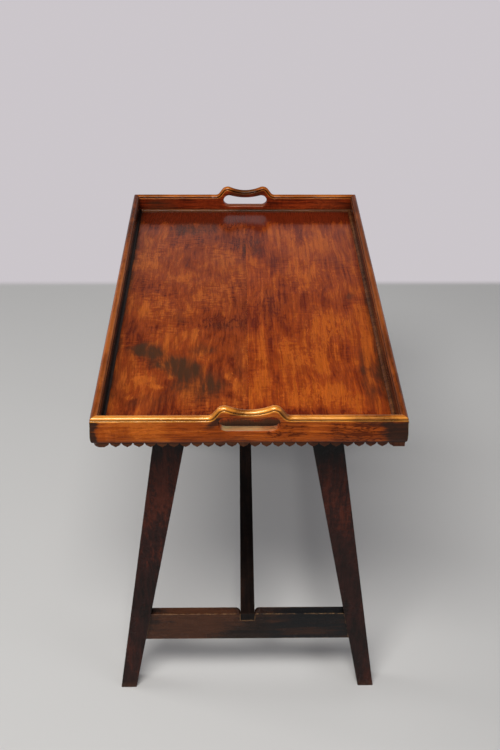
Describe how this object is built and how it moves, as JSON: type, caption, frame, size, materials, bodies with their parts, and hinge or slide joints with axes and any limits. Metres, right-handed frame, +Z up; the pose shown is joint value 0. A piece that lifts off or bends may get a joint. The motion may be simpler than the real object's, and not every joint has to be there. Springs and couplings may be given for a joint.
{
  "type": "butler tray on stand",
  "caption": "Rectangular gallery tray with serpentine pierced handles and a pinked apron, loose on a splayed four-leg stand with stretchers.",
  "frame": {"origin": "on the floor, under the middle of the tray and stand", "axes": "+Y along the tray towards its rear handle, +X across it to the right as seen from the front handle, +Z up"},
  "size_m": [0.505, 0.7806, 0.723],
  "materials": {
    "floor_panel": "French-polished mahogany, glossy, lightly worn",
    "end_gallery": "French-polished mahogany with worn edges",
    "side_gallery": "French-polished mahogany with worn edges",
    "floor_bead": "polished mahogany",
    "pinked_apron": "polished mahogany, dull at the edges",
    "corner_spline": "bare hardwood, hidden",
    "stand_leg": "dark stained mahogany, satin",
    "stand_rail": "dark stained mahogany, satin"
  },
  "bodies": {
    "stand": {"front_left_leg": "stand_leg", "front_right_leg": "stand_leg", "rear_left_leg": "stand_leg", "rear_right_leg": "stand_leg", "front_stretcher": "stand_rail", "rear_stretcher": "stand_rail", "medial_stretcher": "stand_rail", "front_top_rail": "stand_rail", "rear_top_rail": "stand_rail", "left_top_rail": "stand_rail", "right_top_rail": "stand_rail"},
    "tray": {"left_floor_board": "floor_panel", "right_floor_board": "floor_panel", "front_end_board": "end_gallery", "rear_end_board": "end_gallery", "left_side_board": "side_gallery", "right_side_board": "side_gallery", "front_floor_bead": "floor_bead", "rear_floor_bead": "floor_bead", "left_floor_bead": "floor_bead", "right_floor_bead": "floor_bead", "front_apron": "pinked_apron", "rear_apron": "pinked_apron", "left_apron": "pinked_apron", "right_apron": "pinked_apron", "corner_splines": "corner_spline"}
  },
  "joints": [
    {"name": "tray_lift", "type": "slide", "parent": "stand", "child": "tray", "axis": [0, 0, 1], "range_m": [0, 0.25]}
  ]
}
